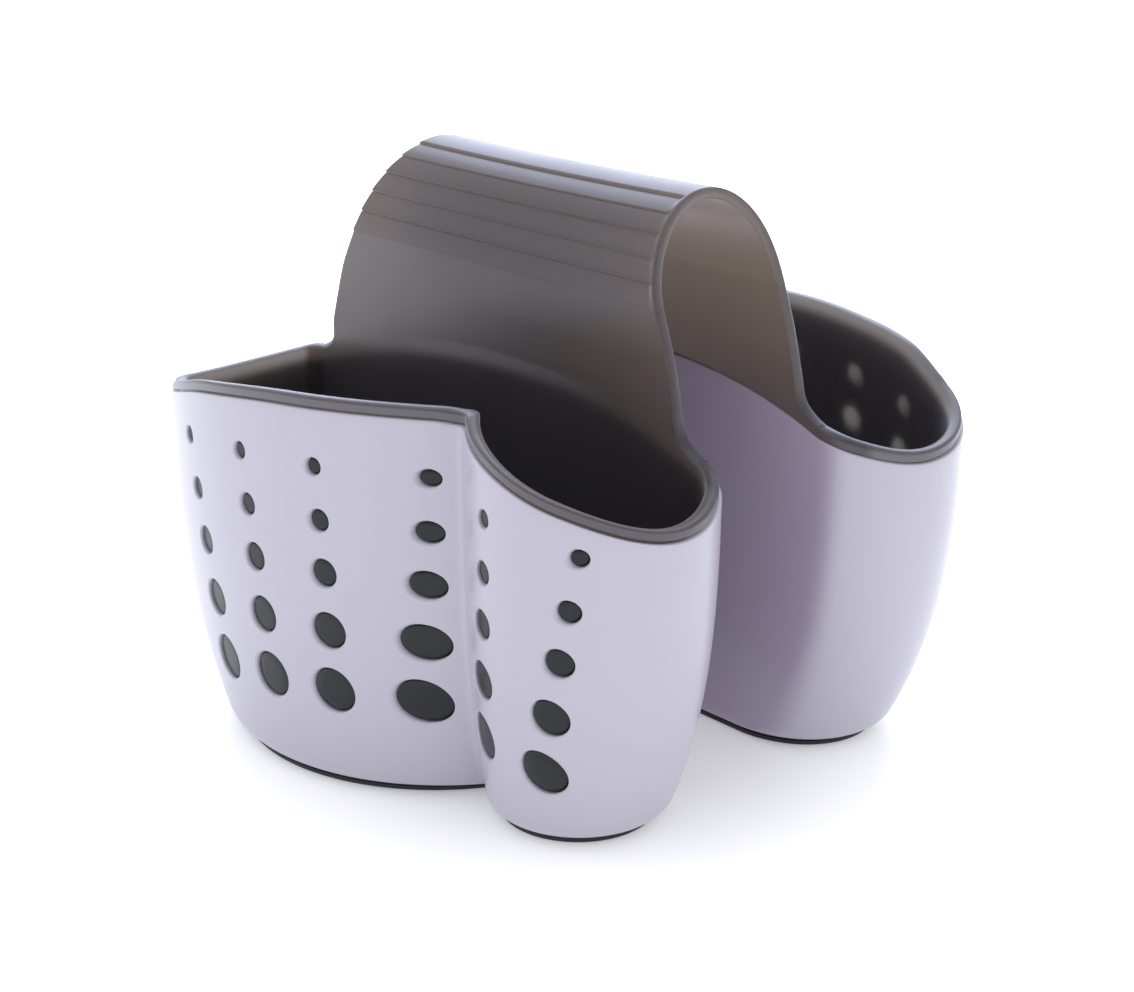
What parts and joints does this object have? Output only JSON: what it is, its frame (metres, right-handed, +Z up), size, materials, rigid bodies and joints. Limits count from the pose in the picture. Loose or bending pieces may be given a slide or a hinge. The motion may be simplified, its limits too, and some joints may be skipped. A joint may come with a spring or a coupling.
{
  "type": "cutlery and sponge holder",
  "caption": "Saddle holder for a sink divider: two perforated cups with soft liners, joined by a wide flexible ribbed strap, for cutlery, brushes and sponges.",
  "frame": {"origin": "on the floor under the middle of the holder, midway between the two pockets", "axes": "+X along the divider towards the small round lobes, +Y from the front pocket to the rear pocket, +Z up"},
  "size_m": [0.164, 0.1678, 0.1407],
  "materials": {
    "shell": "smooth gloss, pale lavender white",
    "soft_moulding": "satin, slightly translucent warm grey silicone",
    "base_pad": "matt, dark"
  },
  "bodies": {
    "saddle": {"saddle_strap": "soft_moulding"},
    "front_pocket": {"front_shell": "shell", "front_liner": "soft_moulding", "front_base_pad": "base_pad"},
    "rear_pocket": {"rear_shell": "shell", "rear_liner": "soft_moulding", "rear_base_pad": "base_pad"}
  },
  "joints": [
    {"name": "front_pocket_flex", "type": "hinge", "parent": "saddle", "child": "front_pocket", "pos_m": [-0.0048, -0.01935, 0.105], "axis": [-1, 0, 0], "range_deg": [-8, 45], "stiffness_Nm_per_rad": 0.07},
    {"name": "rear_pocket_flex", "type": "hinge", "parent": "saddle", "child": "rear_pocket", "pos_m": [-0.0048, 0.01935, 0.105], "axis": [1, 0, 0], "range_deg": [-8, 45], "stiffness_Nm_per_rad": 0.07}
  ]
}
